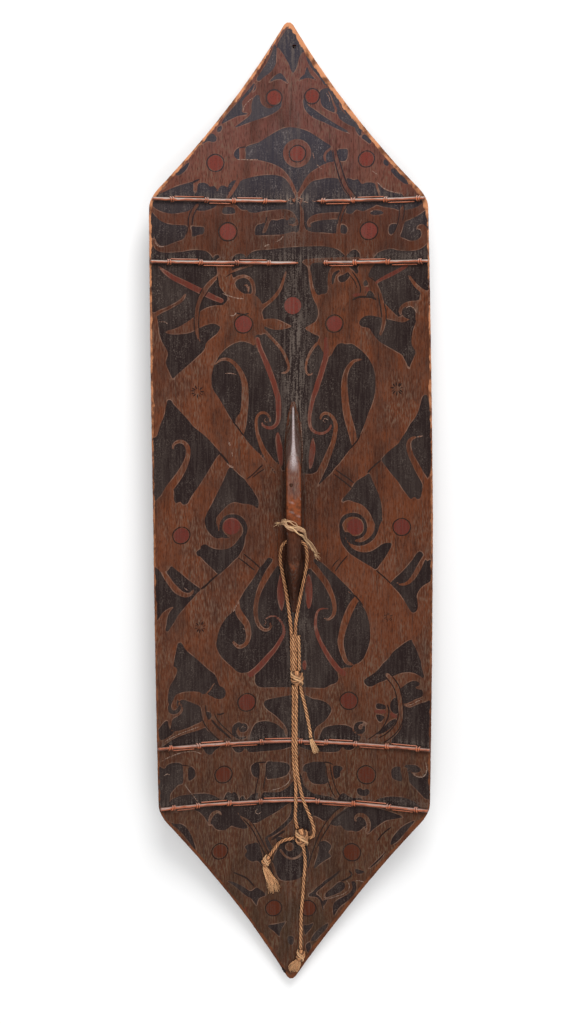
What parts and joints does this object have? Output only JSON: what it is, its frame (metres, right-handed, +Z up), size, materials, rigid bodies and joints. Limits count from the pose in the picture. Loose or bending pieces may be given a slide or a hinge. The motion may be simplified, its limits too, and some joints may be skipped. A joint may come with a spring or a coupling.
{
  "type": "wooden shield",
  "caption": "Long hexagonal wooden shield, bowed across its width, painted inner face up, with a carved grip, rattan bindings and a knotted cord.",
  "frame": {"origin": "centre of the footprint, on the flat of the keel that the shield lies on", "axes": "+Y towards the upper tip, +Z up out of the inner face with the grip, +X to the right when looking down on the inner face"},
  "size_m": [0.3579, 1.25, 0.0726],
  "materials": {
    "painted_wood": "matt, hand-painted scrollwork in black on red-brown wood, worn",
    "rattan": "split cane, dry, slightly glossy where worn",
    "cord": "twisted plant fibre, matt",
    "fibre": "untwisted pale plant fibre, matt"
  },
  "bodies": {
    "root": {"shield_board": "painted_wood", "rattan_rod_upper_1_left": "rattan", "rattan_rod_upper_1_right": "rattan", "rattan_rod_upper_2_left": "rattan", "rattan_rod_upper_2_right": "rattan", "rattan_rod_lower_1": "rattan", "rattan_rod_lower_2": "rattan", "rattan_strip_upper_1_left": "rattan", "rattan_strip_upper_1_right": "rattan", "rattan_strip_upper_2_left": "rattan", "rattan_strip_upper_2_right": "rattan", "rattan_strip_lower_1": "rattan", "rattan_strip_lower_2": "rattan", "grip_lashing": "fibre", "cord_loop": "cord", "cord_bundle_high": "cord", "cord_bundle_low": "cord", "cord_main_left": "cord", "cord_main_right": "cord", "cord_short_tail": "cord", "cord_left_tail": "cord", "cord_down_tail": "cord", "knot_upper": "cord", "knot_middle": "cord", "knot_small": "cord", "knot_lower": "cord", "fray_short_tail": "cord", "tassel_small": "cord", "tassel_lower": "cord"}
  },
  "joints": []
}
